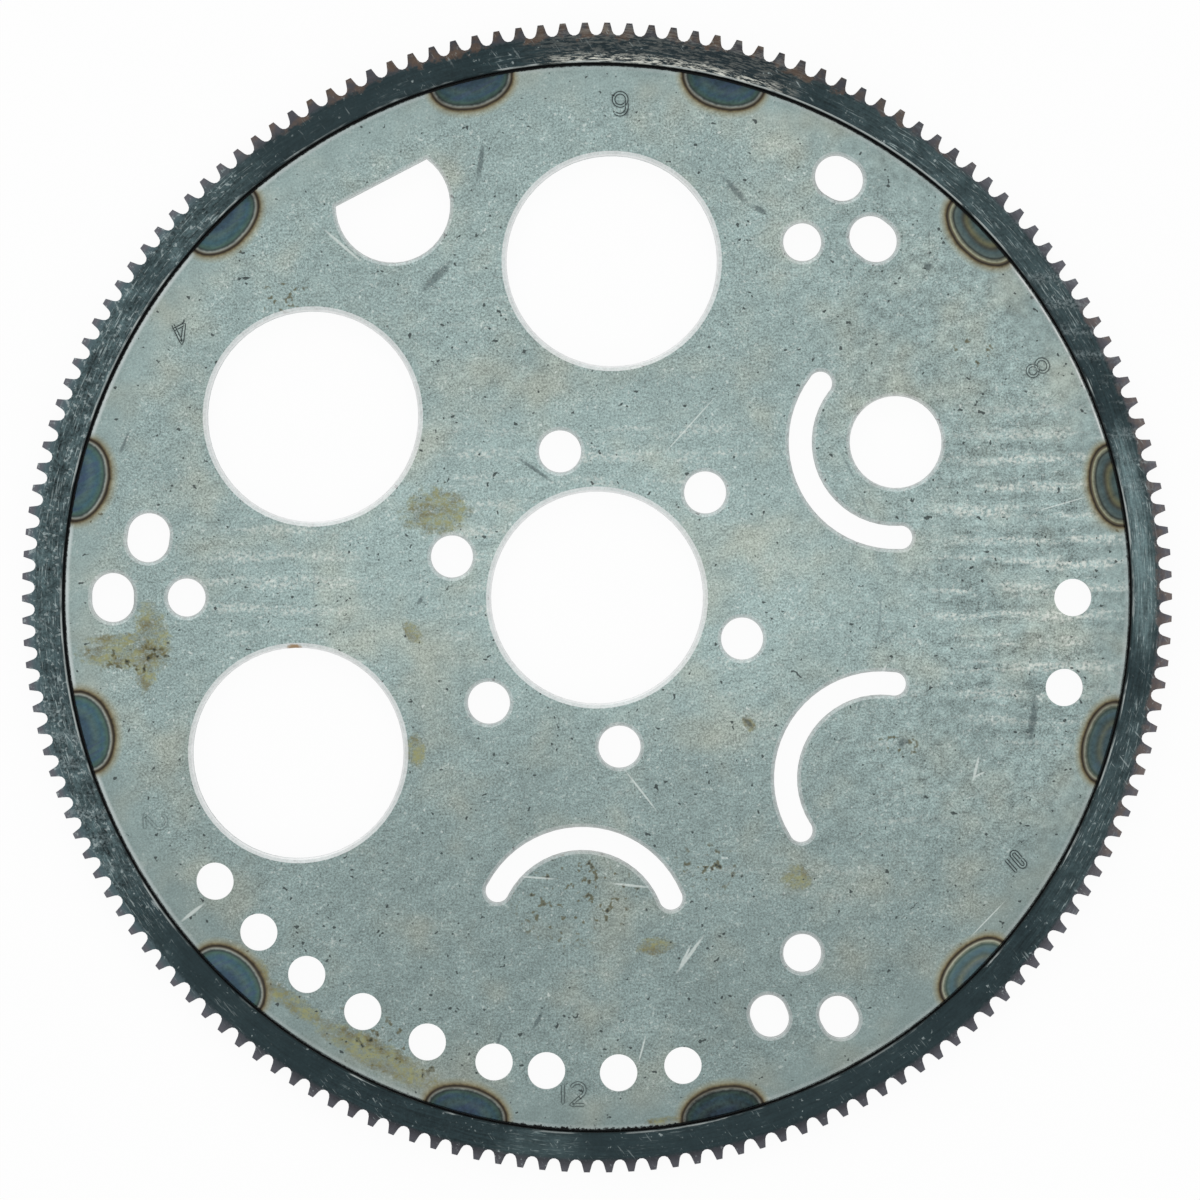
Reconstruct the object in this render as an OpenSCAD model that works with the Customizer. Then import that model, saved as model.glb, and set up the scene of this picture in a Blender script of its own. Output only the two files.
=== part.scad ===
// Flexplate: a flat drive plate in the bore of a starter ring gear, held by fillet welds on its back.
// The part lies flat: z = 0 is the ring's back face, and the face with the rolled edges looks up (+Z).
// Angles run anticlockwise from +X. Four crank holes stand square to the X and Y axes.

/* [Ring gear] */
// Number of starter teeth
teeth = 162; // [158:2:176]
// Pitch diameter over the number of teeth
tooth_module = 2.1167; // [2.08:0.0001:2.2]
// Height of a tooth above the pitch circle
addendum = 1.82; // [1.4:0.01:2.1]
// Depth of a tooth space below the pitch circle
dedendum = 2.05; // [1.7:0.01:2.4]
// Thickness of a tooth on the pitch circle
tooth_thickness = 2.75; // [2.3:0.01:3.2]
// Slope of the tooth flanks on the pitch circle
pressure_angle = 14.5; // [12:0.5:20]
// Place of the first tooth
tooth_phase = 1.45; // [0:0.01:2.2]
// Radial wall between the ring's bore and the bottom of the teeth
ring_wall = 8.2; // [6:0.1:9]
// Axial width of the ring
ring_width = 10; // [9:0.1:14]
// Axial drop of the lead-in bevel across the front of the teeth
bevel_drop = 1.2; // [0.4:0.1:2]
// Chamfer on both inner edges of the ring
ring_chamfer = 0.5; // [0.2:0.1:1]

/* [Plate] */
// Sheet thickness
plate_thickness = 2.8; // [2:0.1:3.6]
// Height of the plate's back face above the ring's back face
plate_height = 4; // [3.6:0.1:5]
// Width of the rolled edge round the rim
rim_roll = 0.9; // [0.3:0.1:1.4]
// Width of the rolled edge round the pilot bore and each window
window_roll = 1.5; // [0.4:0.1:1.8]
// Width of the rolled edge round each smaller punched opening
punch_roll = 1.1; // [0.4:0.1:1.4]
// Depth of every rolled edge
roll_depth = 0.6; // [0.2:0.1:1]
// Bore that sits on the crankshaft's pilot
pilot_d = 64; // [58:0.1:70]

/* [Crank holes] */
// Bolt circle of the crank holes
crank_circle_d = 91; // [86:0.1:94]
// Diameter of a crank hole
crank_hole_d = 12.7; // [10:0.1:14]
// Turn of the one odd hole away from its even place
crank_odd_turn = 5.6; // [2:0.1:9]

/* [Windows and arc slots] */
// Circle that the windows, the small hole and the arc slots are centred on
window_circle_d = 203.2; // [200:0.1:206]
// Turn of the windows from the crank holes' even places
window_turn = 43.3; // [41:0.1:46]
// Diameter of a window
window_d = 63.5; // [54:0.1:65]
// Diameter of the small hole inside the first arc slot
small_hole_d = 27.8; // [20:0.1:32]
// Centre-line radius of an arc slot
arc_slot_r = 28.8; // [26:0.1:31]
// Width of an arc slot
arc_slot_w = 7; // [5:0.1:9]
// Angle that an arc slot's centre line takes
arc_slot_sweep = 131; // [100:1:140]
// Radius of the D-shaped window
d_window_r = 17.3; // [14:0.1:18]
// Circle that the D-shaped window is centred on
d_window_circle_d = 266.8; // [264:0.1:272]
// Distance of the D's flat side from its centre
d_window_flat = 7.7; // [5:0.1:9]

/* [Converter holes] */
// Turn of the converter stations from the crank holes
converter_turn = 15.8; // [14:0.1:18]
// Bolt circle of the round converter holes
inner_circle_d = 247.65; // [246:0.01:250]
// Diameter of a round converter hole
converter_hole_d = 11.5; // [9:0.1:12]
// Bolt circle of the middle converter slots
middle_circle_d = 273.05; // [272:0.01:274]
// Turn of a middle converter slot from its station
middle_turn = -7.6; // [-8.4:0.1:-7.4]
// Bolt circle of the outer converter slots
outer_circle_d = 292.1; // [290:0.01:294]
// Width of the slots that run along the circle
long_slot_w = 12.7; // [10:0.1:13]
// Length of the slots that run along the circle
long_slot_l = 14.8; // [14:0.1:16]
// Width of the slots that run towards the centre
cross_slot_w = 11.1; // [9:0.1:12]
// Length of the slots that run towards the centre
cross_slot_l = 12.9; // [12.5:0.1:14]

/* [Balance holes] */
// Circle of the drilled balance holes
balance_circle_d = 287.1; // [284:0.1:292]
// Diameter of a balance hole
balance_hole_d = 11.3; // [8:0.1:12]

/* [Welds] */
// Leg of a fillet weld
weld_leg = 3.2; // [2:0.1:3.5]
// Length of a weld along the ring's bore
weld_length = 22; // [14:0.5:30]

/* [Hidden] */
$fa = 2;
$fs = 0.6;

// Round the part
full_turn = 360;
half_turn = 180;
quarter_turn = 90;
window_step = 60;
station_step = 120;

// The four square crank holes, then the even one on +Y
crank_angles = [30, 150, 210, 330, 90];
crank_odd_angle = 270 - crank_odd_turn;
window_angles = [for (i = [0 : 2]) crank_angles[0] + window_turn + i * window_step];
small_hole_angle = window_angles[0] - window_step;
arc_slot_angles = [for (i = [0 : 2]) small_hole_angle - i * window_step];
d_window_angle = window_angles[0] + window_step / 2;
station_angles = [for (i = [0 : 2]) crank_angles[0] + converter_turn + i * station_step];
// Two stations have slots along the circle, and the third has slots towards the centre
long_stations = [station_angles[0], station_angles[1]];
cross_station = station_angles[2];
// Drilled where the balancing machine asked for them
balance_angles = [-14.2, -25.1, -93.8, -101.6, -110.3, -116.7, -125.1, -133.7, -141.8, -149.5, -157.6];
// Welds sit near every thirtieth degree, as the welder's hand set them
weld_angles = [-2, 29.5, 62, 89.5, 120.5, 153, 180.5, 212, 241.5, 269.5, 301, 330];

// Ring sizes
pitch_r = teeth * tooth_module / 2;
tip_r = pitch_r + addendum;
root_r = pitch_r - dedendum;
bore_r = root_r - ring_wall;
base_r = pitch_r * cos(pressure_angle);
tooth_step = full_turn / teeth;
bevel_start_r = root_r - ring_chamfer;
over = 1;
// The ball that rounds a weld's end is this much larger than the weld's leg
weld_end_ratio = 1.3;

// Plate sizes: the rim fills the ring's bore
plate_r = bore_r;
plate_front = plate_height + plate_thickness;
// The round ends of an arc slot are this much wider than its sides
arc_end_ease = 0.04;
// A rolled edge is drawn as two slopes that meet at this share of its width and depth
roll_knee = [0.35, 0.65];

steel = [0.55, 0.60, 0.59];
oxide = [0.24, 0.25, 0.27];
weld_grey = [0.42, 0.42, 0.41];

function degrees(radians) = radians * half_turn / PI;
function involute(a) = degrees(tan(a)) - a;
function flank_angle(r) = acos(base_r / r);
// Half the angle that a tooth takes at radius r
function tooth_half(r) =
    degrees(tooth_thickness / 2 / pitch_r) + involute(pressure_angle) - involute(flank_angle(r));
function space_half(r) = tooth_step / 2 - tooth_half(r);
function space_lean(r) = flank_angle(r) + space_half(r);
// Radius of the round tooth root that is tangent to both flanks, found by steps
root_steps = 12;
function root_round(round_r, steps) =
    let (r = root_r + round_r)
    steps == 0 ? round_r : root_round(r * sin(space_half(r)) * cos(space_lean(r)), steps - 1);
root_round_r = root_round(dedendum, root_steps);
root_centre_r = root_r + root_round_r;
root_lean = space_lean(root_centre_r);
root_parts = 5;

// One tooth space: the round root between two flanks, then the tip of the tooth after it
function polar(r, a) = [r * cos(a), r * sin(a)];
function turned(p, a) = [p[0] * cos(a) - p[1] * sin(a), p[0] * sin(a) + p[1] * cos(a)];
root_arc = [
    for (i = [0 : root_parts])
        let (a = half_turn + (i / root_parts - 0.5) * (half_turn - 2 * root_lean))
        [root_centre_r + root_round_r * cos(a), -root_round_r * sin(a)]
];
tip_pair = [
    for (side = [-1, 1])
        polar(tip_r, tooth_step / 2 + side * tooth_half(tip_r))
];
tooth_points = [
    for (i = [0 : teeth - 1])
        for (p = concat(root_arc, tip_pair))
            turned(p, tooth_phase + (i - 0.5) * tooth_step)
];

module placed(r, a) {
    rotate([0, 0, a])
        translate([r, 0, 0])
            children();
}

// Half of a punch's section: straight through the sheet, then the rolled edge at the front
function punch_side(r, roll) = [
    [r, plate_height - over],
    [r, plate_front - roll_depth],
    [r + roll * roll_knee[0], plate_front - roll_depth * (1 - roll_knee[1])],
    [r + roll, plate_front],
    [r + roll, plate_front + over]
];
function punch_half(r, roll) =
    concat([[0, plate_height - over]], punch_side(r, roll), [[0, plate_front + over]]);
function mirrored(points) = [for (i = [len(points) - 1 : -1 : 0]) [-points[i][0], points[i][1]]];
function punch_section(r, roll) = concat(punch_side(r, roll), mirrored(punch_side(r, roll)));

module round_punch(d, roll = punch_roll) {
    rotate_extrude()
        polygon(punch_half(d / 2, roll));
}

module half_punch(w) {
    rotate_extrude(angle = half_turn)
        polygon(punch_half(w / 2, punch_roll));
}

// Runs along X, with round ends
module slot_punch(w, l) {
    straight = l - w;
    translate([-straight / 2, 0, 0])
        rotate([quarter_turn, 0, quarter_turn])
            linear_extrude(straight)
                polygon(punch_section(w / 2, punch_roll));
    translate([straight / 2, 0, 0])
        rotate([0, 0, -quarter_turn])
            half_punch(w);
    translate([-straight / 2, 0, 0])
        rotate([0, 0, quarter_turn])
            half_punch(w);
}

// Bends round its own centre, with its middle on the side of the plate's centre
module arc_punch() {
    rotate([0, 0, half_turn - arc_slot_sweep / 2])
        rotate_extrude(angle = arc_slot_sweep)
            translate([arc_slot_r, 0])
                polygon(punch_section(arc_slot_w / 2, punch_roll));
    for (side = [-1, 1])
        placed(arc_slot_r, half_turn + side * arc_slot_sweep / 2)
            round_punch(arc_slot_w + 2 * arc_end_ease);
}

// The flat side looks away from the plate's centre, along +X
module d_punch() {
    reach = d_window_r + punch_roll + over;
    intersection() {
        round_punch(2 * d_window_r);
        rotate([quarter_turn, 0, 0])
            translate([0, 0, -reach])
                linear_extrude(2 * reach)
                    polygon(concat(
                        [[-reach, plate_height - over]],
                        punch_side(d_window_flat, punch_roll),
                        [[-reach, plate_front + over]]
                    ));
    }
}

module balance_drill() {
    translate([0, 0, plate_height - over])
        cylinder(h = plate_thickness + 2 * over, d = balance_hole_d);
}

module plate_blank() {
    rotate_extrude()
        polygon([
            [0, plate_height],
            [plate_r, plate_height],
            [plate_r, plate_front - roll_depth],
            [plate_r - rim_roll * roll_knee[0], plate_front - roll_depth * (1 - roll_knee[1])],
            [plate_r - rim_roll, plate_front],
            [0, plate_front]
        ]);
}

module converter_punches() {
    for (a = station_angles)
        placed(inner_circle_d / 2, a)
            round_punch(converter_hole_d);
    for (a = long_stations) {
        placed(outer_circle_d / 2, a)
            rotate([0, 0, quarter_turn])
                slot_punch(long_slot_w, long_slot_l);
        placed(middle_circle_d / 2, a + middle_turn)
            rotate([0, 0, quarter_turn])
                slot_punch(long_slot_w, long_slot_l);
    }
    placed(outer_circle_d / 2, cross_station)
        slot_punch(cross_slot_w, cross_slot_l);
    placed(middle_circle_d / 2, cross_station + middle_turn)
        slot_punch(cross_slot_w, cross_slot_l);
}

module plate() {
    color(steel)
        difference() {
            plate_blank();
            round_punch(pilot_d, window_roll);
            for (a = concat(crank_angles, [crank_odd_angle]))
                placed(crank_circle_d / 2, a)
                    round_punch(crank_hole_d);
            for (a = window_angles)
                placed(window_circle_d / 2, a)
                    round_punch(window_d, window_roll);
            placed(window_circle_d / 2, small_hole_angle)
                round_punch(small_hole_d);
            for (a = arc_slot_angles)
                placed(window_circle_d / 2, a)
                    arc_punch();
            placed(d_window_circle_d / 2, d_window_angle)
                d_punch();
            converter_punches();
            for (a = balance_angles)
                placed(balance_circle_d / 2, a)
                    balance_drill();
        }
}

// Revolved section of the ring's bar: chamfered bore and a lead-in bevel across the teeth
module ring_blank() {
    slope = bevel_drop / (tip_r - bevel_start_r);
    rotate_extrude()
        polygon([
            [bore_r, ring_chamfer],
            [bore_r + ring_chamfer, 0],
            [tip_r + over, 0],
            [tip_r + over, ring_width - bevel_drop - over * slope],
            [bevel_start_r, ring_width],
            [bore_r + ring_chamfer, ring_width],
            [bore_r, ring_width - ring_chamfer]
        ]);
}

module ring_gear() {
    color(oxide)
        intersection() {
            linear_extrude(ring_width)
                polygon(tooth_points);
            ring_blank();
        }
}

// A quarter-round bead in the corner between the plate's back and the ring's bore, with round ends
module weld(a) {
    sweep = degrees(weld_length / bore_r);
    color(weld_grey)
        rotate([0, 0, a])
            difference() {
                rotate([0, 0, -sweep / 2])
                    rotate_extrude(angle = sweep)
                        translate([bore_r - weld_leg, plate_height - weld_leg])
                            intersection() {
                                square(weld_leg);
                                translate([weld_leg, weld_leg])
                                    circle(weld_leg);
                            }
                for (side = [-1, 1])
                    rotate([0, 0, side * sweep / 2])
                        weld_trim(side);
            }
}

// What is outside the ball that rounds off one end of a bead
module weld_trim(side) {
    ball_r = weld_leg * weld_end_ratio;
    box_side = 3 * ball_r;
    difference() {
        translate([bore_r, side * (box_side / 2 - ball_r), plate_height])
            cube(box_side, center = true);
        translate([bore_r, -side * ball_r, plate_height])
            rotate([quarter_turn, 0, -side * quarter_turn / 2])
                sphere(ball_r);
    }
}

plate();
ring_gear();
for (i = [0 : len(weld_angles) - 1])
    weld(weld_angles[i]);
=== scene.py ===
"""Looks of the flexplate: grained sheet steel with heat marks at the welds, a dark oxide ring gear, rippled
weld beads on the back and stamped numbers round the rim. Lengths are millimetres, and meshes are metres."""

from functools import reduce
from math import cos, pi, radians, sin

import bpy
import numpy as np
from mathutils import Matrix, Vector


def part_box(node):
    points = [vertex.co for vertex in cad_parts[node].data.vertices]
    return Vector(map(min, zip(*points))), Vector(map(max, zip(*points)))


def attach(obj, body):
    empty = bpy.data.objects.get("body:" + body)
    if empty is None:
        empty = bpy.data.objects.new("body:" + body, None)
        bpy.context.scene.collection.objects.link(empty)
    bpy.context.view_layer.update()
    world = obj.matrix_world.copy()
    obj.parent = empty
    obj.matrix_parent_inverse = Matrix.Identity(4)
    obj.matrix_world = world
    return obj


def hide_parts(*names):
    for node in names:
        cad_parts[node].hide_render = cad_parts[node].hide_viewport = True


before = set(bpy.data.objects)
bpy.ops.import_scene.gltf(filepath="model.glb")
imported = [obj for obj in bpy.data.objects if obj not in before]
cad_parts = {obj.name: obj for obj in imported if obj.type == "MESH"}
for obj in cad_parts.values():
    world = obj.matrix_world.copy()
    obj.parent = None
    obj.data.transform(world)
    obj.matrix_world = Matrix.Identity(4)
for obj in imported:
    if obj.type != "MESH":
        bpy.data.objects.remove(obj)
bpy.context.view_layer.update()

MM = 0.001
BODY = "root"
# The view shows the part turned by this much about its axis
VIEW_TURN = radians(14.2)

PLATE_LOW, PLATE_HIGH = (np.array(corner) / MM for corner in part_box("plate"))
RING_HIGH = np.array(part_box("ring_gear")[1]) / MM
PLATE_R = PLATE_HIGH[0]
PLATE_FRONT = PLATE_HIGH[2]
PLATE_BACK = PLATE_LOW[2]
TIP_R = RING_HIGH[0]
RING_FRONT = RING_HIGH[2]
TOOTH_HEIGHT = 3.9
ROOT_R = TIP_R - TOOTH_HEIGHT

# Welds: angle from +X on the part, and depth of the heat mark that each one leaves on the front
WELDS = [(-2, 9.4), (29.5, 9.4), (62, 9.8), (89.5, 9.9), (120.5, 9.8), (153, 10.6),
         (180.5, 10.7), (212, 10.2), (241.5, 9.2), (269.5, 9.6), (301, 9.0), (330, 9.0)]
WELD_LEG = 3.2
WELD_LENGTH = 22.0
WELD_ROWS = 121
WELD_ARC_POINTS = 13
RIPPLE_STEP = 1.9
RIPPLE_BOW = 0.8
RIPPLE_DEPTH = 0.07

# Stamped numbers: middle and direction of the top in the view's axes, height, and shade of the outline
STAMPS = [("12", (-6.9, -149.7), 90, 6.6, 0.75), ("10", (126.3, -79.6), 131, 5.6, 1.0),
          ("8", (132.9, 69.2), 210, 6.6, 0.85), ("6", (7.0, 148.9), 271, 6.6, 1.0),
          ("4", (-125.7, 80.1), 296, 6.8, 1.0), ("2", (-133.1, -67.6), 2, 6.6, 0.42)]

IN_PLANE = (1.0, 1.0, 0.0)
WHITE = (1.0, 1.0, 1.0, 1.0)


def srgb(red, green, blue, cover=1.0):
    """A colour as seen on a screen, 0 to 255, as the linear colour that a shader takes."""
    seen = np.array([red, green, blue]) / 255
    linear = np.where(seen < 0.04045, seen / 12.92, ((seen + 0.055) / 1.055) ** 2.4)
    return (*linear.tolist(), cover)


def turned(points, angle):
    """Points in the plane, turned about the origin: x cos - y sin, x sin + y cos."""
    x, y = np.moveaxis(np.asarray(points, float), -1, 0)
    return np.stack([x * cos(angle) - y * sin(angle), x * sin(angle) + y * cos(angle)], axis=-1)


class Wire:
    """A node's output that takes part in Python expressions: each operator adds one Math node."""

    def __init__(self, finish, socket):
        self.finish = finish
        self.socket = socket

    def math(self, operation, *others):
        return self.finish.math(operation, self, *others)

    def __add__(self, other):
        return self.math("ADD", other)

    def __sub__(self, other):
        return self.math("SUBTRACT", other)

    def __rsub__(self, other):
        return self.finish.math("SUBTRACT", other, self)

    def __mul__(self, other):
        return self.math("MULTIPLY", other)

    def __truediv__(self, other):
        return self.math("DIVIDE", other)

    def __rtruediv__(self, other):
        return self.finish.math("DIVIDE", other, self)

    __radd__ = __add__
    __rmul__ = __mul__

    def swing(self, amount):
        """Noise less its mean of a half, times an amount."""
        return (self - 0.5) * amount


class Finish:
    """A material or world under construction: one method adds any node, and the rest are tools of these
    finishes."""

    # A Mix node's sockets for its share and its two colours, and its colour output
    MIX_SHARE, MIX_FIRST, MIX_SECOND, MIX_RESULT = 0, 6, 7, 2

    def __init__(self, material):
        self.material = material
        material.use_nodes = True
        self.tree = material.node_tree
        self.tree.nodes.clear()

    def node(self, kind, settings=None, sockets=(), output=0):
        """Adds a node, sets its settings, then its sockets' values or links; returns one of its outputs."""
        made = self.tree.nodes.new(kind)
        for key, value in (settings or {}).items():
            if key == "stops":
                self.set_stops(made.color_ramp, value)
            elif key == "interpolation":
                made.color_ramp.interpolation = value
            else:
                setattr(made, key, value)
        for key, value in sockets.items() if isinstance(sockets, dict) else enumerate(sockets):
            if isinstance(value, Wire):
                self.tree.links.new(value.socket, made.inputs[key])
            else:
                made.inputs[key].default_value = value
        return Wire(self, made.outputs[output]) if made.outputs else made

    @staticmethod
    def set_stops(ramp, stops):
        while len(ramp.elements) < len(stops):
            ramp.elements.new(1.0)
        for element, (position, colour) in zip(ramp.elements, stops):
            element.position = position
            element.color = colour

    def math(self, operation, *values):
        return self.node("ShaderNodeMath", {"operation": operation}, values)

    def vector(self, operation, sockets, output=0):
        return self.node("ShaderNodeVectorMath", {"operation": operation}, sockets, output)

    def length(self, vector):
        return self.vector("LENGTH", [vector], "Value")

    def part(self, vector, axis):
        return self.node("ShaderNodeSeparateXYZ", {}, [vector], axis)

    def attribute(self, name):
        return self.node("ShaderNodeAttribute", {"attribute_name": name}, {}, "Fac")

    def step(self, value, start, end):
        """Rises smoothly from 0 where value is start to 1 where it is end."""
        settings = {"interpolation_type": "SMOOTHSTEP"}
        return self.node("ShaderNodeMapRange", settings, [value, start, end, 0.0, 1.0])

    def mix(self, share, first, second):
        """The first colour, with that share of the second."""
        sockets = {self.MIX_SHARE: share, self.MIX_FIRST: first, self.MIX_SECOND: second}
        return self.node("ShaderNodeMix", {"data_type": "RGBA"}, sockets, self.MIX_RESULT)

    def scaled(self, colour, tone):
        """A colour made darker or lighter by a tone around 1."""
        return self.node("ShaderNodeHueSaturation", {}, {"Color": colour, "Value": tone})

    def noise(self, point, size, detail=2.0, rough=0.5, stretch=(1.0, 1.0, 1.0)):
        """Noise with a mean of about a half, whose lumps are size millimetres wide, longer along a stretched
        axis."""
        placed = self.moved(point, scale=[1 / (size * share) for share in stretch])
        sockets = {"Vector": placed, "Scale": 1.0, "Detail": detail, "Roughness": rough}
        return self.node("ShaderNodeTexNoise", {}, sockets)

    def ramp(self, value, stops, output="Color", interpolation="LINEAR"):
        settings = {"stops": stops, "interpolation": interpolation}
        return self.node("ShaderNodeValToRGB", settings, [value], output)

    def view_point(self):
        """The point in millimetres in the view's axes, X to the right and Y up from the plate's centre."""
        own_point = self.node("ShaderNodeTexCoord", {}, {}, "Object")
        return self.moved(own_point, turn=VIEW_TURN, scale=[1 / MM] * 3)

    def moved(self, point, turn=0.0, scale=(1.0, 1.0, 1.0), shift=(0.0, 0.0, 0.0)):
        """The point scaled, then turned about Z, then shifted."""
        sockets = {"Vector": point, "Location": shift, "Rotation": (0.0, 0.0, turn), "Scale": tuple(scale)}
        return self.node("ShaderNodeMapping", {"vector_type": "POINT"}, sockets)

    def on_plane(self, point):
        """The point's place in the plane with 1 in third place, so that a shift is part of a dot product."""
        return self.vector("MULTIPLY_ADD", [point, IN_PLANE, (0.0, 0.0, 1.0)])

    def spoke(self, point):
        """The way in the plane from the part's axis to the point."""
        return self.vector("MULTIPLY", [point, IN_PLANE])

    def facing_up(self):
        """Slope of the surface: 1 where it faces up, 0 where it stands upright."""
        return self.part(self.node("ShaderNodeTexCoord", {}, {}, "Normal"), "Z")

    def oval(self, flat, centre, halves, turn=0.0):
        """Square of the distance from an oval's centre in units of its half sizes, so 1 on its outline."""
        turn = radians(turn)
        ways = np.array([[cos(turn), sin(turn)], [-sin(turn), cos(turn)]]) / np.reshape(halves, (2, 1))
        shifts = -ways @ centre
        along, aside = (self.vector("DOT_PRODUCT", [flat, (*way, shift)], "Value")
                        for way, shift in zip(ways, shifts))
        return aside.math("MULTIPLY_ADD", aside, along * along)

    def nearest(self, flat, ovals):
        """Distance from the nearest oval's centre in units of that oval's half sizes."""
        squares = (self.oval(flat, *oval) for oval in ovals)
        return reduce(lambda first, second: first.math("MINIMUM", second), squares).math("SQRT")

    def patches(self, flat, ovals, ragged, soft=0.35):
        """1 inside any of the ovals, with an edge that the ragged noise eats into, and 0 outside."""
        return self.step(self.nearest(flat, ovals) + ragged, 1.0 + soft, 1.0 - soft)

    def steel(self, colour, roughness, metallic, height, depth, strength, gloss=0.5):
        """Ends the material in one shader: height, 0 to 1, is a relief that is depth millimetres deep."""
        relief = {"Strength": strength, "Distance": depth * MM, "Height": height}
        normal = self.node("ShaderNodeBump", {}, relief)
        shader = self.node("ShaderNodeBsdfPrincipled", {},
                           {"Base Color": colour, "Roughness": roughness, "Metallic": metallic,
                            "Normal": normal, "Specular IOR Level": gloss})
        self.node("ShaderNodeOutputMaterial", {}, [shader])
        return self.material


# Marks on the front, in the view's axes: middle, half sizes and turn of an oval
BROWN_STAINS = [((-48.1, 25.8), (9.5, 6.6), 8), ((-143.0, -12.6), (9.5, 1.7), 3),
                ((-143.5, -17.5), (12.0, 3.6), 0), ((-134.0, -12.0), (4.6, 9.0), 12),
                ((-136.5, -20.0), (3.0, 8.5), 4), ((17.5, -105.1), (5.0, 2.4), 8),
                ((60.5, -84.5), (4.2, 3.6), 0), ((-54.6, -46.4), (2.6, 4.6), 0),
                ((45.9, -38.2), (2.4, 1.5), -50), ((-55.8, -10.4), (2.0, 4.0), 35),
                ((-92.0, -122.0), (11.0, 2.6), -36), ((-66.0, -138.0), (18.0, 4.2), -29),
                ((-101.5, -113.5), (2.4, 3.4), 0), ((20.0, -157.8), (5.0, 1.2), 8)]
RUST_SPECKS = [((33.0, -82.0), (9.5, 8.0), 0), ((-6.0, -91.0), (19.0, 13.0), 20),
               ((-140.0, -18.0), (11.0, 6.0), 0), ((-95.0, 91.0), (8.0, 6.0), 30),
               ((114.0, 74.0), (9.0, 5.0), 20), ((-62.0, -134.0), (18.0, 6.0), -30),
               ((91.0, -44.0), (7.0, 3.0), -10)]
DARK_SMUDGES = [((-48.4, 96.8), (5.6, 1.2), 45), ((-35.1, 131.7), (0.8, 5.0), -8),
                ((41.8, 122.7), (4.4, 1.0), -48), ((-18.5, 38.4), (6.2, 0.5), -35),
                ((131.4, -37.0), (1.1, 7.0), -8), ((92.4, -43.6), (1.5, 0.9), 30),
                ((-53.4, -1.0), (1.5, 0.6), 60), ((-18.0, -127.8), (2.6, 0.6), 60),
                ((-29.6, -133.3), (1.7, 0.4), 70), ((49.0, 117.0), (2.4, 0.8), -30),
                ((99.8, 100.0), (1.3, 1.1), 0), ((8.9, 146.1), (0.8, 0.9), 0),
                ((-142.5, 46.6), (3.4, 0.5), 69), ((45.8, -37.9), (2.0, 0.55), -48)]
BRIGHT_SCRATCHES = [((13.2, -58.2), (7.3, 0.28), -52), ((28.0, -107.7), (6.3, 0.5), 54),
                    ((-76.8, 106.2), (6.8, 0.4), -41), ((140.4, 28.3), (7.0, 0.2), 16),
                    ((114.3, -51.6), (3.6, 0.4), 77), ((13.6, -136.2), (3.9, 0.25), 75),
                    ((115.1, -53.5), (2.1, 0.3), 26), ((-18.0, -84.5), (5.0, 0.3), -4),
                    ((117.6, -97.2), (7.0, 0.18), 46), ((28.0, 52.0), (10.0, 0.2), 48),
                    ((10.0, -86.8), (5.2, 0.35), -6), ((26.5, -108.4), (3.6, 0.35), 63),
                    ((-122.0, -95.0), (4.0, 0.5), 38), ((86.0, -23.0), (3.0, 0.4), 65)]
RUST_DRIP = [((-91.3, -15.0), (2.0, 0.9), 0)]
# Painted light: a lighter band across the middle of the plate
LIT_MIDDLE = [((0.0, 10.0), (105.0, 52.0))]
# Where the painted reflection streaks show, and their step, place and tilt
STREAK_FIELDS = [((131.0, 8.0), (32.0, 50.0), 0), ((-96.0, 4.0), (26.0, 24.0), 0),
                 ((18.0, 43.0), (30.0, 14.0), 0), ((-34.0, 18.0), (18.0, 36.0), 0)]
STREAK_STEP = 7.82
STREAK_PLACE = -11.95
STREAK_TILT = radians(0.5)
SWEEP_TILT = radians(-28)
# A faint turned circle on the plate
WITNESS_R = 85.5
# Paleness of a rolled edge by its slope, partly burnish and partly a painted highlight: upright, two lower
# bands, two upper ones, then the flat face
ROLLED_SLOPES = [(0.0, 0.0), (0.5, 0.62), (0.75, 0.95), (0.9, 0.24), (0.968, 0.6), (0.99, 0.0)]
# Painted shade: the near-black colour of the gap between plate and ring and of the ring's bore wall
GAP_SHADE = srgb(14, 18, 20)

# Heat marks: half their length, the distance at the end of the colours in mark sizes, and the length that the
# innermost bands keep. The colours run outwards from the weld.
HEAT_WIDTH = 13.2
HEAT_REACH = 1.5
HEAT_INNER = 0.55
HEAT_EDGE = [(0.6, srgb(74, 68, 56)), (0.615, srgb(42, 37, 30)), (0.637, srgb(54, 46, 32)),
             (0.662, srgb(100, 88, 58, 0.92)), (0.705, srgb(132, 122, 88, 0.6)),
             (0.83, srgb(148, 148, 124, 0.0))]
HEAT_BLUE = [(0.0, srgb(62, 84, 92)), (0.16, srgb(56, 80, 96)), (0.28, srgb(76, 100, 100)),
             (0.4, srgb(60, 92, 102)), (0.49, srgb(68, 94, 86)), (0.532, srgb(54, 66, 64)),
             (0.548, srgb(96, 105, 101)), (0.566, srgb(138, 144, 138)), (0.582, srgb(124, 124, 114)),
             *HEAT_EDGE]
HEAT_STRAW = [(0.0, srgb(80, 102, 102)), (0.14, srgb(66, 84, 82)), (0.24, srgb(98, 98, 74)),
              (0.3, srgb(62, 64, 56)), (0.37, srgb(66, 84, 86)), (0.45, srgb(80, 95, 93)),
              (0.49, srgb(44, 50, 46)), (0.53, srgb(112, 116, 100)), (0.558, srgb(148, 150, 128)),
              (0.58, srgb(98, 92, 70)), *HEAT_EDGE]


def drawn_bands(finish, point):
    """Long lumps across the view, as the rollers drew them out."""
    return finish.noise(point, 8.0, 2.0, 0.6, (2.6, 0.45, 1.0))


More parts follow.
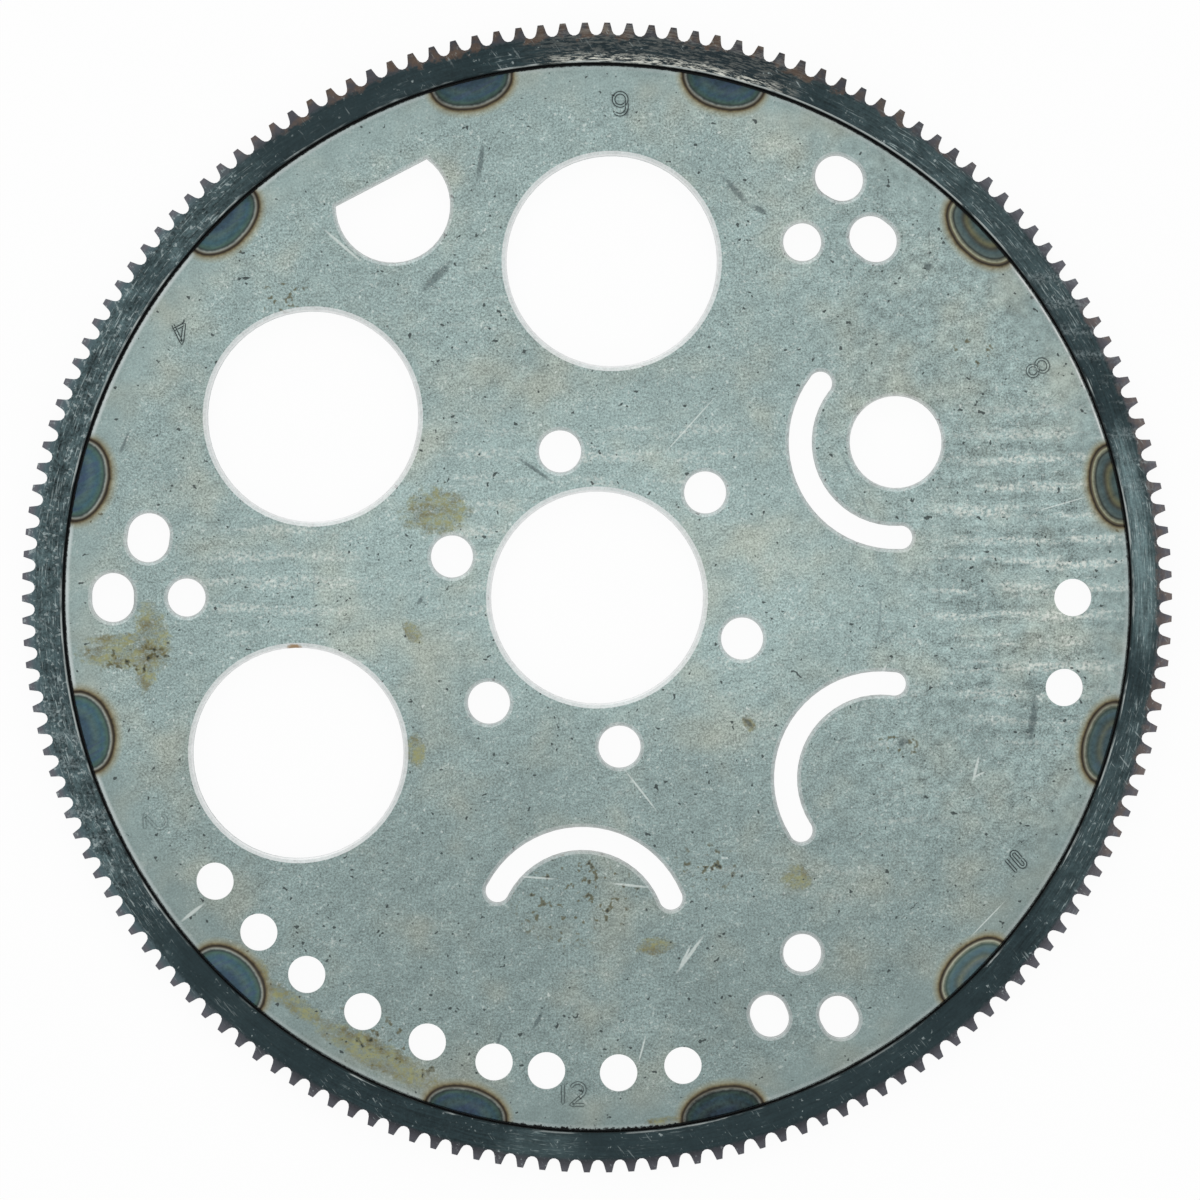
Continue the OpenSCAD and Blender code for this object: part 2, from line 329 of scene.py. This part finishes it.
def reflection_streaks(finish, point, ragged, speckle, bands):
    """Pale broken bands of specks across the view, a fixed step apart: a painted reflection of the studio
    lights.
    """
    along = finish.moved(point, turn=STREAK_TILT)
    half = STREAK_STEP / 2
    off = (finish.part(along, "Y") - STREAK_PLACE).math("WRAP", half, -half).math("ABSOLUTE")
    broken = finish.step(bands, 0.43, 0.58)
    return finish.step(off + ragged.swing(4.0), 2.6, 0.6) * broken * finish.step(speckle, 0.4, 0.62)


def heat_marks(finish, across, upward, radius, clean, wavy, lumps, brushed):
    """Half-round temper colours at each weld, read from the distance to the weld in mark sizes, where inner
    bands keep more of the mark's length than of its depth. The welds stand one to a sector of the plate, so a
    ramp over the sectors gives each mark's place and depth. Returns the colour and the marks' cover."""
    sector = 1 / len(WELDS)
    turn = upward.math("ARCTAN2", across)
    way_round = ((turn - VIEW_TURN) / (2 * pi) + sector / 2).math("FRACT")
    stops = [(number * sector, (angle / 360 + sector / 2, depth / HEAT_WIDTH, 0.0, 1.0))
             for number, (angle, depth) in enumerate(WELDS)]
    mark = finish.ramp(way_round, stops, interpolation="CONSTANT")
    middle, share = (finish.node("ShaderNodeSeparateColor", {}, [mark], part) for part in ("Red", "Green"))
    along = (way_round - middle) * (radius * 2 * pi)
    inward = (PLATE_R - radius) / share
    deep = inward * inward
    along = along * (HEAT_INNER + (along * along + deep).math("SQRT") * ((1 - HEAT_INNER) / HEAT_WIDTH))
    wobble = lumps.swing(0.05) + wavy.swing(0.025)
    near = ((along * along + deep).math("SQRT") / HEAT_WIDTH + wobble) / HEAT_REACH

    side = across + lumps.swing(60.0)
    right = finish.step(side, 60.0, 110.0) * (1.0 - finish.step(upward, 10.0, -40.0) * 0.4)
    tint = finish.mix(right, finish.ramp(near, HEAT_BLUE), finish.ramp(near, HEAT_STRAW))
    violet = finish.step(brushed, 0.46, 0.66) * finish.step(near, 0.5, 0.42) * (1.0 - right)
    tint = finish.mix(violet * 0.5, tint, srgb(54, 66, 96))
    low = finish.step(upward, -100.0, -156.0) * (0.3 + finish.step(side, -30.0, 30.0) * 0.28)
    dulled = finish.step(upward - across * 0.18, 118.0, 156.0) * 0.34 + low
    low_right = finish.step(upward, 70.0, 0.0) * 0.16 - finish.step(upward, -70.0, -110.0) * 0.8
    dulled = dulled + right * low_right
    mottled = 0.03 + lumps * 0.6 + brushed * 0.54 + wavy * 0.7
    cloudy = finish.scaled(tint, mottled - dulled * finish.step(near, 0.6, 0.57))
    cover = finish.ramp(near, HEAT_BLUE, "Alpha")
    return finish.mix(cover, clean, cloudy), cover


def sheet_steel():
    """The plate's finish: teal-grey sheet with a light and dark grain, warm clouds, marks of use, painted
    reflection streaks, and painted highlights and shade at the edges.
    """
    finish = Finish(bpy.data.materials.new("sheet_steel"))
    point = finish.view_point()
    flat = finish.on_plane(point)
    radius = finish.length(finish.spoke(point))
    across, upward = finish.part(point, "X"), finish.part(point, "Y")
    up = finish.facing_up()
    front = finish.step(up, 0.2, 0.7)

    fine = finish.noise(point, 0.62, 2.0, 0.8)
    grain = finish.noise(point, 1.5, 3.0, 0.75, (1.3, 1.0, 1.0))
    dots = finish.noise(point, 1.1, 2.0, 0.65)
    spots = finish.noise(point, 1.9, 1.0)
    ragged = finish.noise(point, 3.0, 3.0, 0.7)
    lumps = finish.noise(point, 7.0, 2.0, 0.6)
    clouds = finish.noise(point, 34.0, 2.0, 0.55)
    warmth = finish.noise(finish.moved(point, shift=(400.0, 130.0, 70.0)), 26.0, 2.0, 0.6)
    sweeps = finish.noise(finish.moved(point, turn=SWEEP_TILT), 1.5, 2.0, 0.6, (8.0, 1.0, 1.0))
    bands = drawn_bands(finish, point)

    # The bare sheet and its grain, calmer at the rim and lower down, with painted shade lower down and a
    # painted lighter band across the middle
    colour = finish.mix(finish.step(warmth, 0.45, 0.75) * 0.6, srgb(139, 157, 155), srgb(160, 164, 151))
    lower = finish.step(upward, 10.0, -120.0)
    middle = finish.step(finish.nearest(flat, LIT_MIDDLE), 1.25, 0.55)
    field = finish.step(finish.nearest(flat, STREAK_FIELDS), 1.3, 0.6)
    calmed = (1.0 - finish.step(radius, 146.0, 156.0) * 0.55) * (1.05 - lower * 0.3)
    worked = calmed * (0.7 + clouds * 0.6)
    on_right = finish.step(across, 40.0, 100.0) * finish.step(upward, -100.0, -50.0)
    tone = (fine.swing(2.4) + grain.swing(0.9) + sweeps.swing(0.35)) * worked
    tone = tone + (ragged.swing(1.2) + bands.swing(field)) * on_right
    tone = tone + 1.02 + lumps.swing(0.28) + clouds.swing(0.3) + middle * 0.13 - lower * 0.22
    colour = finish.scaled(colour, tone)
    silver = finish.step(dots, 0.57, 0.7) * finish.step(lumps, 0.38, 0.6) * worked
    colour = finish.mix(silver * 0.46, colour, srgb(210, 218, 213))

    # Painted reflection streaks in pale broken bands across the view, and the faint circle that the lathe
    # left
    reflected_streaks = reflection_streaks(finish, point, ragged, dots, bands)
    stray = finish.step(clouds, 0.54, 0.66) * 0.35
    shown = field.math("MAXIMUM", stray) * (0.42 + on_right * 0.26)
    colour = finish.mix(reflected_streaks * shown * front, colour, srgb(214, 218, 211))
    witness = finish.step((radius - WITNESS_R).math("ABSOLUTE"), 0.45, 0.1) * finish.step(lumps, 0.4, 0.6)
    colour = finish.mix(witness * front * (0.3 + on_right * 0.25), colour, srgb(98, 112, 114))

    # Stains, rust, smudges, pits, scratches and nicks
    torn_edge = ragged.swing(1.2)
    crumbs = dots.swing(1.4)
    stain = finish.patches(flat, BROWN_STAINS, torn_edge + crumbs * 0.5, 0.3) * front
    rusty = finish.mix(finish.step(lumps, 0.4, 0.62), srgb(156, 156, 104), srgb(112, 102, 52))
    colour = finish.mix(stain * (0.16 + finish.step(grain, 0.36, 0.66) * 0.7), colour, rusty)
    rust = finish.patches(flat, RUST_SPECKS, torn_edge * 0.6) * finish.step(spots, 0.6, 0.68) * front
    colour = finish.mix(rust * 0.75, colour, srgb(92, 88, 56))
    smudge = finish.patches(flat, DARK_SMUDGES, torn_edge * 0.6 + crumbs * 0.7, 0.5) * front
    colour = finish.mix(smudge * 0.6, colour, srgb(62, 74, 76))
    pits = finish.step(spots, 0.72, 0.76)
    colour = finish.mix(pits * 0.85, colour, srgb(42, 50, 50))
    scratch = finish.patches(flat, BRIGHT_SCRATCHES, crumbs * 0.4) * front
    nicks = finish.step(spots, 0.235, 0.2) * worked
    colour = finish.mix(scratch.math("MAXIMUM", nicks) * 0.55, colour, srgb(214, 222, 218))

    # Heat marks; rolled edges, pale from burnish and a painted highlight; a painted highlight along the rim;
    # and painted shade in the black line along it and in the stamped grooves
    colour, heat = heat_marks(finish, across, upward, radius, colour, dots, lumps, sweeps)
    # Rolled edges: pale from burnish, with a painted highlight set by the slope
    stops = [(slope, (*WHITE[:3], share)) for slope, share in ROLLED_SLOPES]
    rolled = finish.ramp(up, stops, "Alpha", "CONSTANT")
    stamped = finish.attribute("stamped")
    rolled = rolled * finish.step(radius, PLATE_R - 2.0, PLATE_R - 4.0)
    rolled = rolled * (0.72 + grain * 0.5) * (1.0 - stamped)
    colour = finish.mix(rolled, colour, srgb(232, 233, 233))
    drip = finish.patches(flat, RUST_DRIP, crumbs * 0.6) * front
    colour = finish.mix(drip * 0.85, colour, srgb(142, 108, 58))
    # Painted highlight: a pale band along the plate's rim, stronger towards the left
    lit_rim = finish.step(across * 0.8 - upward * 0.2 + lumps.swing(60.0), -60.0, -130.0)
    rim = finish.step(radius, PLATE_R - 2.4, PLATE_R - 1.3) * (0.25 + lit_rim * 0.5) * (0.5 + lumps)
    colour = finish.mix(rim * (1.0 - heat) * front, colour, srgb(204, 213, 212))
    # Painted highlight: a thin white line just inside the rim at the upper right
    rim_glint = finish.step((radius - PLATE_R + 1.15).math("ABSOLUTE"), 0.4, 0.12)
    rim_glint = rim_glint * finish.step(lumps, 0.38, 0.56)
    rim_glint = rim_glint * finish.step(across, 108.0, 124.0) * finish.step(upward, 18.0, 40.0)
    colour = finish.mix(rim_glint * (1.0 - heat) * 0.65, colour, srgb(228, 230, 228))
    # Painted shade: the black line in the gap between plate and ring, jagged at the bottom and widened
    # towards the upper left as a painted cast shadow
    torn = finish.step(upward, -157.0, -159.5) * (dots - 0.35) * 2.4
    shaded = finish.step(upward * 0.9 - across * 0.6, -60.0, 140.0) * 0.22
    gap_shade = finish.step(radius + torn + dots.swing(0.9) + shaded, PLATE_R - 0.85, PLATE_R - 0.45)
    colour = finish.mix(gap_shade, colour, GAP_SHADE)
    # Painted shade in the stamped grooves
    colour = finish.mix(finish.attribute("groove"), colour, srgb(30, 38, 40))

    roughness = 0.36 + grain * 0.2 + (stain + rust) * 0.2 + gap_shade * 0.4 - heat * 0.04
    metallic = 0.7 - (stain + rust).math("MINIMUM", 1.0) * 0.4 - gap_shade * 0.6
    height = (fine * 0.4 + grain * 0.6) * calmed - pits * 0.8
    return finish.steel(colour, roughness, metallic, height, depth=0.06, strength=0.5)


# Stretches of the ring that are worn bright with painted sheen, or smooth and dark: middle, half sizes and
# turn of an oval
RUBBED_AND_SHEEN = [((-154.0, 62.0), (13.0, 56.0), -22), ((165.0, 16.0), (9.0, 34.0), 6),
          ((116.0, 118.0), (12.0, 58.0), 45), ((-157.0, -56.0), (12.0, 52.0), 20),
          ((156.0, -62.0), (9.0, 40.0), -22), ((-120.0, 114.0), (22.0, 8.0), 43),
          ((-17.0, -166.0), (11.0, 6.0), 0), ((-168.0, 2.0), (10.0, 36.0), 0)]
SMOOTH = [((80.0, -146.0), (60.0, 14.0), 29), ((10.0, -166.0), (44.0, 8.0), 3),
          ((-110.0, -123.0), (40.0, 12.0), -48), ((-76.0, 147.0), (34.0, 9.0), 27)]
# Worn bright with painted sheen along the ring's right side
BRIGHT_SIDE = [((161.0, 32.0), (2.6, 15.0), 12), ((164.2, 6.0), (3.0, 17.0), 2)]
TOP_SCUFF = [((22.0, 164.0), (44.0, 14.0), -7)]
SCUFF_TILT = radians(52)


def ring_oxide():
    """The ring's finish: blue-black oxide, silver where it is worn along the ring with painted sheen, browner
    on the teeth, and a painted highlight and shade at the bore.
    """
    finish = Finish(bpy.data.materials.new("ring_oxide"))
    point = finish.view_point()
    flat = finish.on_plane(point)
    spoke = finish.spoke(point)
    radius = finish.length(spoke)
    across, upward = finish.part(point, "X"), finish.part(point, "Y")
    front = finish.step(finish.facing_up(), 0.3, 0.8)

    # A point that moves slowly along the ring and fast across it, for marks that run round the ring
    outward = finish.node("ShaderNodeCombineXYZ", {}, {"Z": radius})
    round_way = finish.vector("SCALE", {0: finish.vector("NORMALIZE", [spoke]), "Scale": PLATE_R})
    rounded = finish.vector("ADD", [round_way, outward])
    fine = finish.noise(point, 0.9, 3.0, 0.7)
    dots = finish.noise(point, 1.3, 2.0, 0.6)
    clouds = finish.noise(point, 16.0, 3.0, 0.6)
    blotches = finish.noise(point, 5.0, 3.0, 0.6)
    lines = finish.noise(rounded, 0.6, 3.0, 0.6, (20.0, 20.0, 1.0))
    scores = finish.noise(rounded, 0.42, 3.0, 0.65, (12.0, 12.0, 1.0))

    # The oxide, and where it is worn bright with painted sheen, more on the left
    rubbed_and_sheen = finish.patches(flat, RUBBED_AND_SHEEN, clouds.swing(1.4), 0.6) * front
    smooth = finish.patches(flat, SMOOTH, clouds.swing(1.2), 0.5)
    bright_side = finish.patches(flat, BRIGHT_SIDE, clouds.swing(0.8), 0.6) * front
    left = finish.step(across + clouds.swing(60.0), -90.0, -140.0)
    shown = rubbed_and_sheen * (0.2 + left * 0.12) * (0.2 + blotches * 1.6) + bright_side * lines * 1.5 + clouds * 0.14
    colour = finish.mix(shown, srgb(27, 42, 46), srgb(96, 116, 118))
    plainer = 1.0 - smooth * 0.5
    flecked = rubbed_and_sheen * left
    worn = 1.0 + flecked * 1.2
    tone = 1.0 + (lines.swing(1.5) + (fine.swing(1.3) + blotches.swing(0.9)) * worn) * plainer
    colour = finish.scaled(colour, tone)

    # The teeth, warmer at the top and the right, lighter at their tips and at both sides
    at_top = finish.step(upward + clouds.swing(60.0), 118.0, 158.0)
    at_right = finish.step(across + clouds.swing(30.0), 140.0, 160.0) * 0.5
    warm = at_top.math("MAXIMUM", at_right) * finish.step(blotches, 0.4, 0.62)
    on_teeth = finish.step(radius + fine.swing(1.8) + warm * (blotches * 3.0), ROOT_R - 0.7, ROOT_R + 0.9)
    tips = finish.step(radius, ROOT_R + 0.6, TIP_R - 0.8)
    tooth_colour = finish.mix(warm, srgb(67, 66, 71), srgb(90, 74, 63))
    tooth_colour = finish.mix(left * (1.0 - tips) * 0.7, tooth_colour, srgb(62, 84, 88))
    sides = finish.step(across.math("ABSOLUTE"), 60.0, 150.0)
    tooth_tone = 0.62 + dots * 0.7 + tips * (0.9 - at_top * 0.9) + sides * 0.7
    colour = finish.mix(on_teeth * 0.8, colour, finish.scaled(tooth_colour, tooth_tone))

    # Silver scores round the ring, the darker top with pale scuffs, specks, and painted reflection streaks
    # across the ring
    gathered = clouds * 0.6 + blotches * 0.4 + rubbed_and_sheen * 0.2 + bright_side * 0.4
    gathered = finish.step(gathered, 0.5, 0.68) * plainer
    silver = finish.step(scores, 0.56, 0.7) * gathered
    colour = finish.mix(silver * front * (1.0 - on_teeth * 0.7) * 0.6, colour, srgb(170, 184, 184))
    top = finish.step(finish.nearest(flat, TOP_SCUFF), 1.2, 0.6) * front
    colour = finish.mix(top * (1.0 - on_teeth) * 0.55, colour, srgb(24, 33, 39))
    near_bore = finish.step(radius + blotches.swing(5.0), PLATE_R + 3.6, PLATE_R + 1.0)
    scuffed = finish.step(finish.noise(rounded, 0.5, 3.0, 0.75, (6.0, 6.0, 1.0)), 0.45, 0.6)
    colour = finish.mix(top * scuffed * (0.12 + near_bore * 0.78), colour, srgb(212, 213, 203))
    scuffs = finish.noise(finish.moved(point, turn=SCUFF_TILT), 0.6, 2.0, 0.6, (9.0, 1.0, 1.0))
    scuffs = finish.step(scuffs, 0.63, 0.72) * finish.step(clouds * 0.4 + blotches * 0.6, 0.46, 0.58)
    specks = finish.step(dots + flecked * 0.07, 0.64, 0.73)
    specks = specks * finish.step(blotches + flecked * 0.08, 0.45, 0.62)
    colour = finish.mix(specks.math("MAXIMUM", scuffs * plainer) * front * 0.55, colour, srgb(172, 184, 184))
    low_left = finish.step(across, -140.0, -156.0) * finish.step(upward, -20.0, -34.0)
    high_right = finish.step(across, 120.0, 138.0) * finish.step(upward, 20.0, 40.0)
    cross_reflections = reflection_streaks(finish, point, blotches, fine, drawn_bands(finish, point))
    cross_reflections = cross_reflections * (low_left + high_right).math("MINIMUM", 1.0)
    colour = finish.mix(cross_reflections * front * 0.3, colour, srgb(160, 172, 173))

    # The bore: a painted highlight on the lip and painted shade on the dark wall
    lip = finish.step((radius - PLATE_R - 0.34).math("ABSOLUTE"), 0.32, 0.12)
    upper_right = finish.step(across, 10.0, 40.0) * finish.step(upward, 95.0, 125.0)
    lip_highlight = finish.step(clouds + lines.swing(0.6) + rubbed_and_sheen * 0.08 + upper_right * 0.2, 0.5, 0.66)
    colour = finish.mix(lip * lip_highlight * (1.0 - smooth * 0.6) * 0.75, colour, srgb(196, 203, 201))
    wall = finish.step(radius, PLATE_R + 0.12, PLATE_R + 0.02)
    colour = finish.mix(wall, colour, GAP_SHADE)

    roughness = 0.52 - lines * 0.16 - smooth * 0.08 + on_teeth * 0.1
    metallic = 0.45 + silver * 0.4 - wall * 0.4
    height = lines * 0.5 + scores * 0.3 + fine * 0.2
    return finish.steel(colour, roughness, metallic, height, depth=0.05, strength=0.4, gloss=0.18)


def weld_metal():
    """The beads' finish: dull grey weld metal, blued towards its ends, with brown scale in the ripples."""
    finish = Finish(bpy.data.materials.new("weld_metal"))
    point = finish.view_point()
    ripple, along = finish.attribute("ripple"), finish.attribute("along")
    grain = finish.noise(point, 0.7, 3.0, 0.6)
    stops = [(0.0, srgb(74, 84, 96)), (0.18, srgb(104, 100, 92)), (0.5, srgb(132, 130, 124)),
             (0.82, srgb(108, 102, 90)), (1.0, srgb(70, 82, 96))]
    colour = finish.scaled(finish.ramp(along, stops), 0.7 + grain * 0.6)
    colour = finish.mix((1.0 - ripple) * 0.6, colour, srgb(66, 56, 46))
    roughness = 0.36 + grain * 0.3
    metallic = 0.6 + ripple * 0.2
    return finish.steel(colour, roughness, metallic, grain, depth=0.05, strength=0.5)


def solid(name, rows, shares):
    """A closed surface: each row of points is a ring, joined to the next, and the two end rings are filled.
    Faces are turned outwards by the sign of the enclosed volume. shares gives point attributes by name."""
    count, size = rows.shape[:2]
    points = rows.reshape(-1, 3)
    here = np.arange(count * size).reshape(count, size)
    beside = np.roll(here, -1, axis=1)
    quads = np.stack([here[:-1], beside[:-1], beside[1:], here[1:]], axis=-1).reshape(-1, 4)
    first, second, third, fourth = (points[quads[:, i]] for i in range(4))
    volume = np.sum(first * (np.cross(second, third) + np.cross(third, fourth)))
    ends = [here[0][::-1].tolist(), here[-1].tolist()]
    faces = quads.tolist() + ends
    if volume < 0:
        faces = [face[::-1] for face in faces]
    mesh = bpy.data.meshes.new(name)
    mesh.from_pydata((points * MM).tolist(), [], faces)
    mesh.polygons.foreach_set("use_smooth", [True] * len(quads) + [False, False])
    for key, values in shares.items():
        attribute = mesh.attributes.new(key, "FLOAT", "POINT")
        attribute.data.foreach_set("value", np.ravel(values).astype(np.float32))
    mesh.update()
    return mesh


def place(name, meshes, material):
    """One piece made of several closed surfaces, riding on the part."""
    piece = bpy.data.objects.new(name, meshes[0])
    bpy.context.scene.collection.objects.link(piece)
    for mesh in meshes:
        mesh.materials.append(material)
    for mesh in meshes[1:]:
        other = bpy.data.objects.new(name + ".more", mesh)
        bpy.context.scene.collection.objects.link(other)
        with bpy.context.temp_override(active_object=piece, selected_editable_objects=[piece, other]):
            bpy.ops.object.join()
    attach(piece, BODY)
    return piece


def weld_bead(angle):
    """A rippled fillet: a quarter circle about the corner of plate and ring, carried along the ring's bore.
    Its radius is the leg times an end taper, the root of 1 less the seventh power of the way along, with
    ripples that bow forward in the middle of the bead."""
    along = np.linspace(-1, 1, WELD_ROWS)[:, None]
    lean = np.linspace(0, pi / 2, WELD_ARC_POINTS)[None, :]
    taper = np.sqrt(np.clip(1 - np.abs(along) ** 7, 0.0004, 1))
    phase = along * WELD_LENGTH / 2 / RIPPLE_STEP - RIPPLE_BOW * np.sin(2 * lean)
    ripple = np.abs(np.cos(pi * phase)) ** 0.6
    reach = WELD_LEG * taper * (1 - RIPPLE_DEPTH + RIPPLE_DEPTH * ripple)
    corner = np.zeros((WELD_ROWS, 1))
    inward = np.concatenate([corner, reach * np.cos(lean)], axis=1)
    down = np.concatenate([corner, reach * np.sin(lean)], axis=1)
    turn = radians(angle) + along * (WELD_LENGTH / 2 / PLATE_R)
    radius = PLATE_R - inward
    points = np.stack([radius * np.cos(turn), radius * np.sin(turn), PLATE_BACK - down], axis=-1)
    shares = {"ripple": np.concatenate([np.ones((WELD_ROWS, 1)), ripple], axis=1),
              "along": np.broadcast_to((along + 1) / 2, inward.shape)}
    return solid("bead", points, shares)


def arc(centre, halves, start, end, count=28):
    """Points on an oval arc: centre plus half sizes times the cosine and sine of the angle."""
    angle = np.radians(np.linspace(start, end, count))
    return np.stack([centre[0] + halves[0] * np.cos(angle), centre[1] + halves[1] * np.sin(angle)], axis=-1)


def line(*corners):
    """Points along straight runs between corners."""
    share = np.linspace(0, 1, 10)[:, None]
    runs = [np.array(a) * (1 - share) + np.array(b) * share for a, b in zip(corners, corners[1:])]
    return np.concatenate([run[:-1] for run in runs] + [runs[-1][-1:]])


# Width of each figure and its strokes, in a box one high
FIGURES = {
    "0": (0.32, [np.concatenate([
        line((0.32, 0.4), (0.32, 0.8)), arc((0.16, 0.82), (0.16, 0.18), 10, 170, 14),
        line((0.0, 0.8), (0.0, 0.2)), arc((0.16, 0.18), (0.16, 0.18), 190, 350, 14),
        line((0.32, 0.2), (0.32, 0.44))])]),
    "1": (0.0, [line((0.0, 0.0), (0.0, 1.0))]),
    "2": (0.66, [np.concatenate([
        arc((0.32, 0.69), (0.32, 0.31), 165, -28), line((0.55, 0.47), (0.0, 0.0), (0.66, 0.0))])]),
    "4": (0.62, [line((0.46, 0.0), (0.46, 1.0), (0.0, 0.28), (0.62, 0.28))]),
    "6": (0.6, [np.concatenate([
        arc((0.32, 0.66), (0.32, 0.34), 40, 175), arc((0.3, 0.3), (0.3, 0.3), 180, 545, 44)])]),
    "8": (0.6, [arc((0.3, 0.27), (0.3, 0.27), 90, 455), arc((0.3, 0.76), (0.25, 0.24), -90, 275)]),
}
FIGURE_GAP = 0.36
STROKE_HALF = 0.74
LIP_HEIGHT = 0.07
# Half of a stroke's section, from its middle outwards: shares of half width, height and groove shade
STROKE_SECTION = np.array([(0.0, 0.03, 0.0), (0.25, 0.06, 0.0), (0.42, 0.3, 1.0),
                           (0.66, 0.9, 1.0), (0.8, 1.0, 0.1), (1.0, 0.0, 0.0)])
STROKE_FOOT = -0.4


def stroke(path, dark):
    """A stamped stroke: a shallow groove between two raised lips, carried along a path on the plate's front.
    The section narrows to its ends, and its flat foot lies just under the plate's face."""
    ahead = np.gradient(path, axis=0)
    ahead /= np.linalg.norm(ahead, axis=1, keepdims=True)
    aside = np.stack([-ahead[:, 1], ahead[:, 0]], axis=-1)
    steps = np.linalg.norm(np.diff(path, axis=0), axis=1)
    run = np.concatenate([[0], np.cumsum(steps)])
    end = np.minimum(run, run[-1] - run) / STROKE_HALF
    taper = np.sqrt(np.clip(1 - (1 - np.clip(end, 0, 1)) ** 2, 0.01, 1))[:, None]
    other_half = STROKE_SECTION[:0:-1] * (-1, 1, 1)
    foot = np.array([(1.0, STROKE_FOOT, 0.0), (-1.0, STROKE_FOOT, 0.0)])
    section = np.concatenate([other_half, STROKE_SECTION, foot])
    flat = path[:, None, :] + aside[:, None, :] * (section[:, 0] * STROKE_HALF * taper)[..., None]
    height = PLATE_FRONT + LIP_HEIGHT * section[:, 1] * taper
    points = np.concatenate([flat, height[..., None]], axis=-1)
    shares = {"groove": section[:, 2] * taper * dark, "stamped": np.ones(points.shape[:2])}
    return solid("stroke", points, shares)


def stamped_number(figures, middle, top, height, dark):
    """The strokes of a number, laid out in a row and turned so that its top looks along top in the view."""
    paths, across = [], 0.0
    for figure in figures:
        width, strokes = FIGURES[figure]
        paths += [path + (across, 0.0) for path in strokes]
        across += width + FIGURE_GAP
    middle_of_row = np.array([(across - FIGURE_GAP) / 2, 0.5])
    turn = radians(top - 90)
    laid = [turned((path - middle_of_row) * height, turn) + middle for path in paths]
    return [stroke(turned(path, -VIEW_TURN), dark) for path in laid]


def bright_to_view(finish, share):
    """A share of plain white for what is seen straight, in gloss or through glass; 0 for other light."""
    names = ("Is Camera Ray", "Is Glossy Ray", "Is Transmission Ray")
    rays = [finish.node("ShaderNodeLightPath", {}, {}, name) for name in names]
    return reduce(lambda first, second: first.math("MAXIMUM", second), rays) * share


def floor(size, level):
    """A plain pale floor just under the part, white to the view but for a share that keeps the shadow."""
    finish = Finish(bpy.data.materials.new("pale_floor"))
    lit = finish.node("ShaderNodeBsdfDiffuse", {}, {"Color": (0.9, 0.9, 0.9, 1.0)})
    white = finish.node("ShaderNodeEmission", {}, {"Color": WHITE, "Strength": 1.0})
    both = finish.node("ShaderNodeMixShader", {}, [bright_to_view(finish, 0.95), lit, white])
    finish.node("ShaderNodeOutputMaterial", {}, [both])
    finish.material.cycles.emission_sampling = "NONE"
    half = size / 2
    mesh = bpy.data.meshes.new("floor")
    corners = [(-half, -half, level), (half, -half, level), (half, half, level), (-half, half, level)]
    mesh.from_pydata(corners, [], [(0, 1, 2, 3)])
    mesh.materials.append(finish.material)
    piece = bpy.data.objects.new("floor", mesh)
    bpy.context.scene.collection.objects.link(piece)


def studio(fill, panels):
    """An even white world, and soft square panels that look at the part: name, place in metres in the view's
    axes, side and watts of each."""
    world = bpy.data.worlds.new("studio")
    sky = Finish(world)
    lit, white = (sky.node("ShaderNodeBackground", {}, {"Color": WHITE, "Strength": strength})
                  for strength in (fill, 1.0))
    both = sky.node("ShaderNodeMixShader", {}, [bright_to_view(sky, 1.0), lit, white])
    sky.node("ShaderNodeOutputWorld", {}, [both])
    bpy.context.scene.world = world
    for name, spot, side, watts in panels:
        lamp = bpy.data.lights.new(name, "AREA")
        lamp.size = side
        lamp.energy = watts
        panel = bpy.data.objects.new(name, lamp)
        x, y = turned(spot[:2], -VIEW_TURN)
        panel.location = (x, y, spot[2])
        panel.rotation_euler = (-panel.location).to_track_quat("-Z", "Y").to_euler()
        bpy.context.scene.collection.objects.link(panel)


def camera(height, frame_width, aim):
    """Looks straight down from a height, with frame_width millimetres across the image at the front."""
    data = bpy.data.cameras.new("camera")
    data.sensor_width = 36.0
    data.lens = data.sensor_width * (height - RING_FRONT) / frame_width
    data.clip_end = 20.0
    eye = bpy.data.objects.new("camera", data)
    x, y = turned(aim, -VIEW_TURN)
    eye.location = (x * MM, y * MM, height * MM)
    eye.rotation_euler = (0.0, 0.0, -VIEW_TURN)
    bpy.context.scene.collection.objects.link(eye)
    bpy.context.scene.camera = eye


# Finishes on the solids, then rippled beads in place of the plain ones and the numbers, then the studio
plate_finish, ring_finish, weld_finish = sheet_steel(), ring_oxide(), weld_metal()
for node, material in (("plate", plate_finish), ("ring_gear", ring_finish)):
    for material_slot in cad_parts[node].material_slots:
        material_slot.material = material
for number, (weld_angle, _) in enumerate(WELDS, 1):
    bead = place(f"weld_bead_{number}", [weld_bead(weld_angle)], weld_finish)
    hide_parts(f"weld_{number}")
for figures, *layout in STAMPS:
    place(f"stamp_{figures}", stamped_number(figures, *layout), plate_finish)

floor(size=8.0, level=-0.2 * MM)
studio(fill=0.7, panels=[("top_panel", (0.0, 0.5, 2.6), 3.0, 8.0),
                         ("side_panel", (-0.5, 1.7, 1.4), 1.0, 6.0)])
camera(height=2400.0, frame_width=361.4, aim=(0.9, -0.75))
bpy.context.scene.view_settings.view_transform = "Standard"
